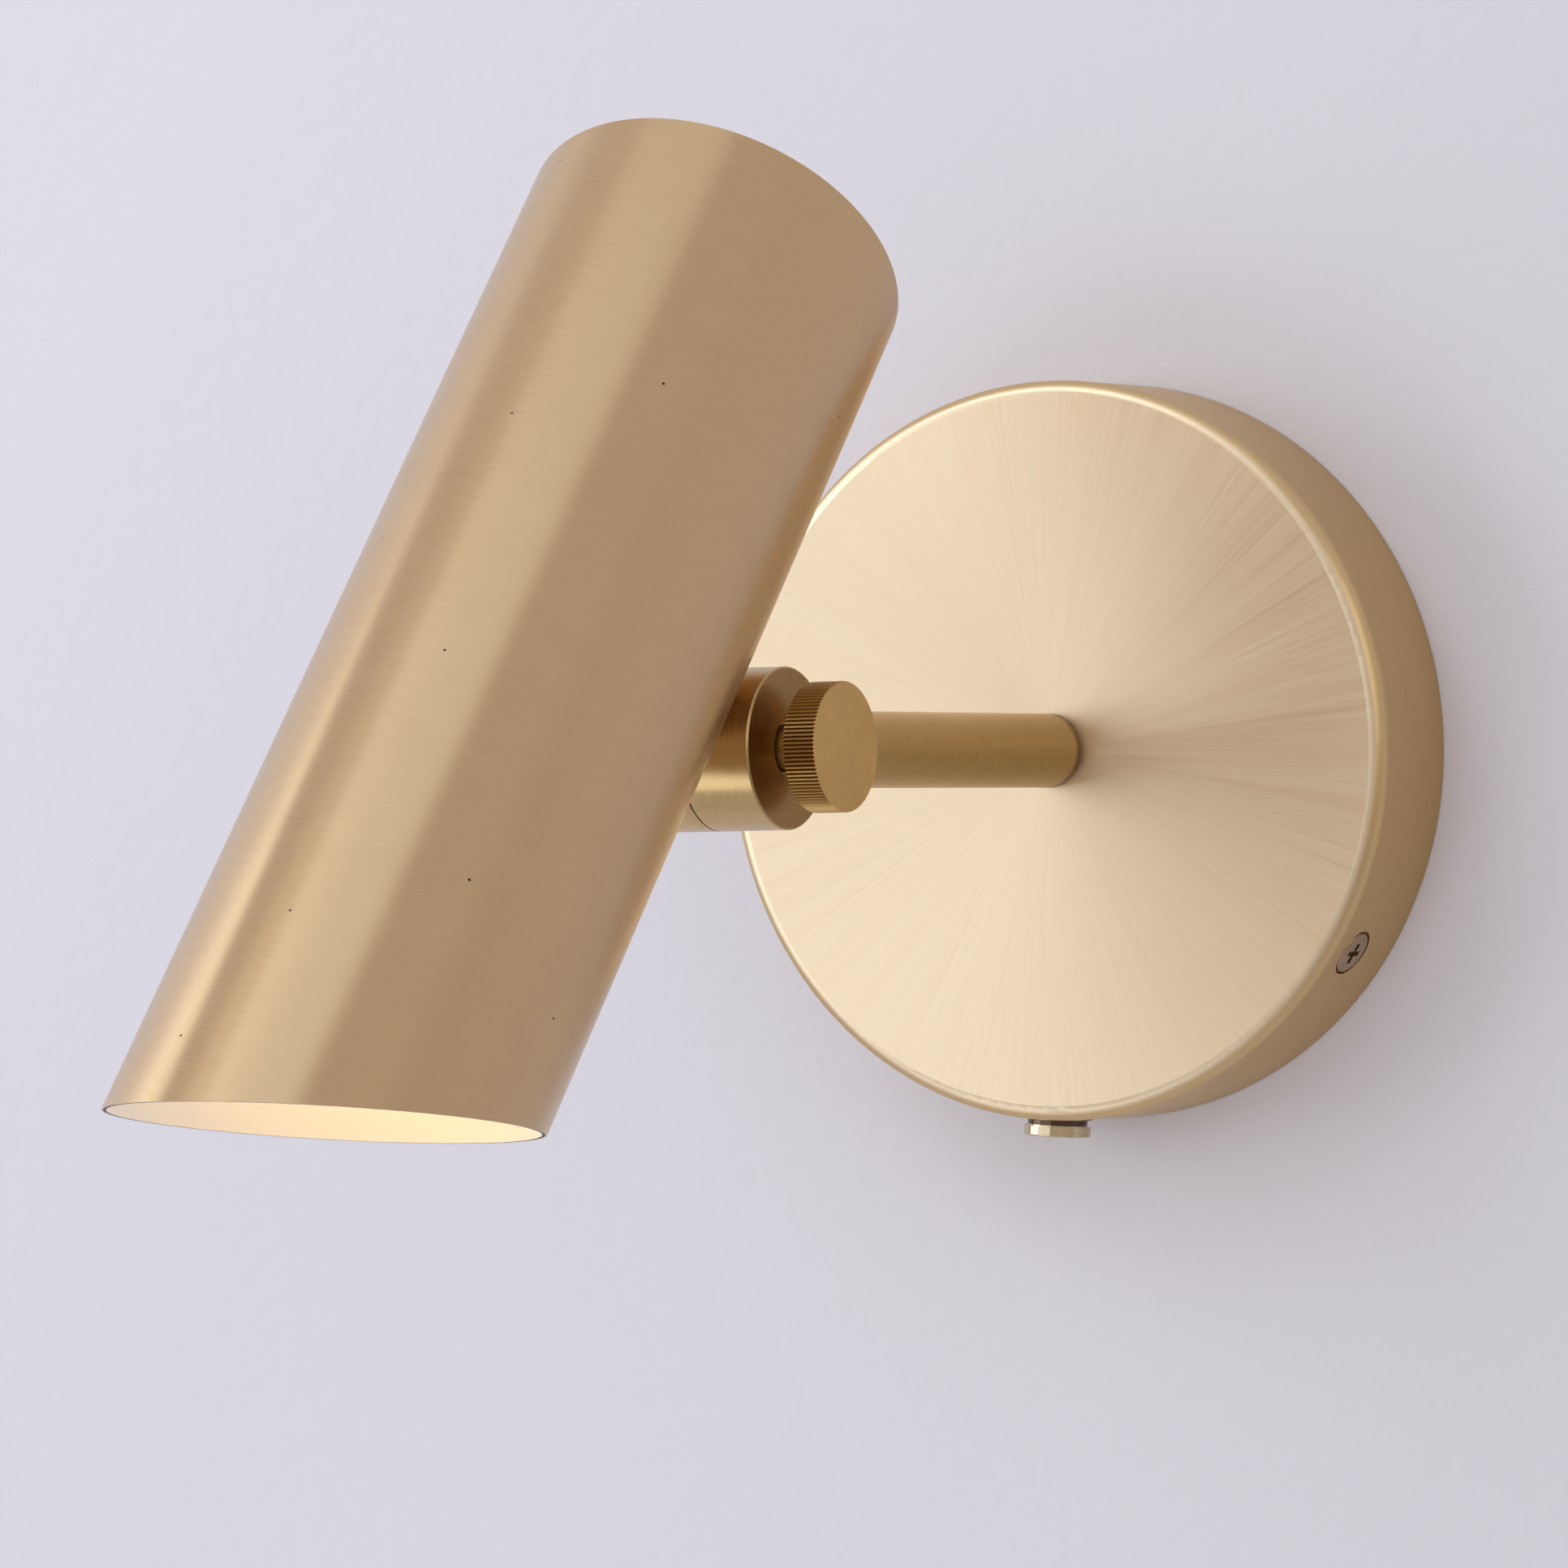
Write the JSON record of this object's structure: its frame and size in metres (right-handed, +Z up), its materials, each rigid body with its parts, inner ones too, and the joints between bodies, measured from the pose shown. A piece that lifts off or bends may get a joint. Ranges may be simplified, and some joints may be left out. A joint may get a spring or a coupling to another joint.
{
  "type": "wall reading lamp",
  "caption": "Brass wall reading lamp: round canopy, short straight arm and a side knuckle with a thumbscrew that holds a tilting tube shade with a slanted mouth.",
  "frame": {"origin": "centre of the canopy's back face, on the wall, midway between the wall screw holes", "axes": "+Y into the wall, -Y out into the room, +Z up, +X to the right as one faces the wall"},
  "size_m": [0.12, 0.2576, 0.1595],
  "materials": {
    "shade_brass": "satin, fine brush lines round the tube, white inside",
    "canopy_brass": "satin, brushed",
    "arm_brass": "satin",
    "knuckle_brass": "brushed",
    "knob_brass": "turned and knurled",
    "plain_brass": "plain",
    "zinc_steel": "zinc plated",
    "nickel": "polished nickel",
    "bulb_metal": "pressed",
    "opal_glass": "opal",
    "white_plastic": "moulded",
    "black_plastic": "moulded",
    "fibre": "pressed fibre"
  },
  "bodies": {
    "wall_mount": {"canopy": "canopy_brass", "wall_plate": "zinc_steel", "canopy_screws": "nickel", "earth_screw": "plain_brass", "terminal_block": "white_plastic", "terminal_screws": "plain_brass", "terminal_fixing": "zinc_steel", "arm": "arm_brass", "arm_nipple": "zinc_steel", "arm_washer": "zinc_steel", "arm_nut": "zinc_steel", "barrel_nipple": "plain_brass", "barrel": "knuckle_brass", "friction_washer": "fibre", "switch_housing": "black_plastic", "switch_bushing": "nickel", "switch_nut": "nickel"},
    "shade_head": {"saddle": "knuckle_brass", "stop_pin": "zinc_steel", "shade": "shade_brass", "shade_cap": "shade_brass", "saddle_screws": "nickel", "holder_bracket": "zinc_steel", "holder_nipple": "zinc_steel", "holder_nut": "zinc_steel", "lampholder": "black_plastic", "lampholder_shell": "plain_brass", "lampholder_contact": "plain_brass", "bulb_base": "bulb_metal", "bulb_contact": "plain_brass", "bulb_globe": "opal_glass"},
    "thumbscrew": {"thumb_knob": "knob_brass", "clamp_stud": "zinc_steel"},
    "button": {"push_button": "nickel"}
  },
  "joints": [
    {"name": "shade_tilt", "type": "hinge", "parent": "wall_mount", "child": "shade_head", "pos_m": [0, -0.1175, 0], "axis": [1, 0, 0], "range_deg": [-45, 60]},
    {"name": "knob_turn", "type": "hinge", "parent": "wall_mount", "child": "thumbscrew", "pos_m": [0, -0.1175, 0], "axis": [1, 0, 0], "range_deg": [0, 360]},
    {"name": "switch_press", "type": "slide", "parent": "wall_mount", "child": "button", "axis": [0.0785, 0, 0.9969], "range_m": [0, 0.0009], "stiffness_N_per_m": 800, "springref_m": -0.002}
  ]
}
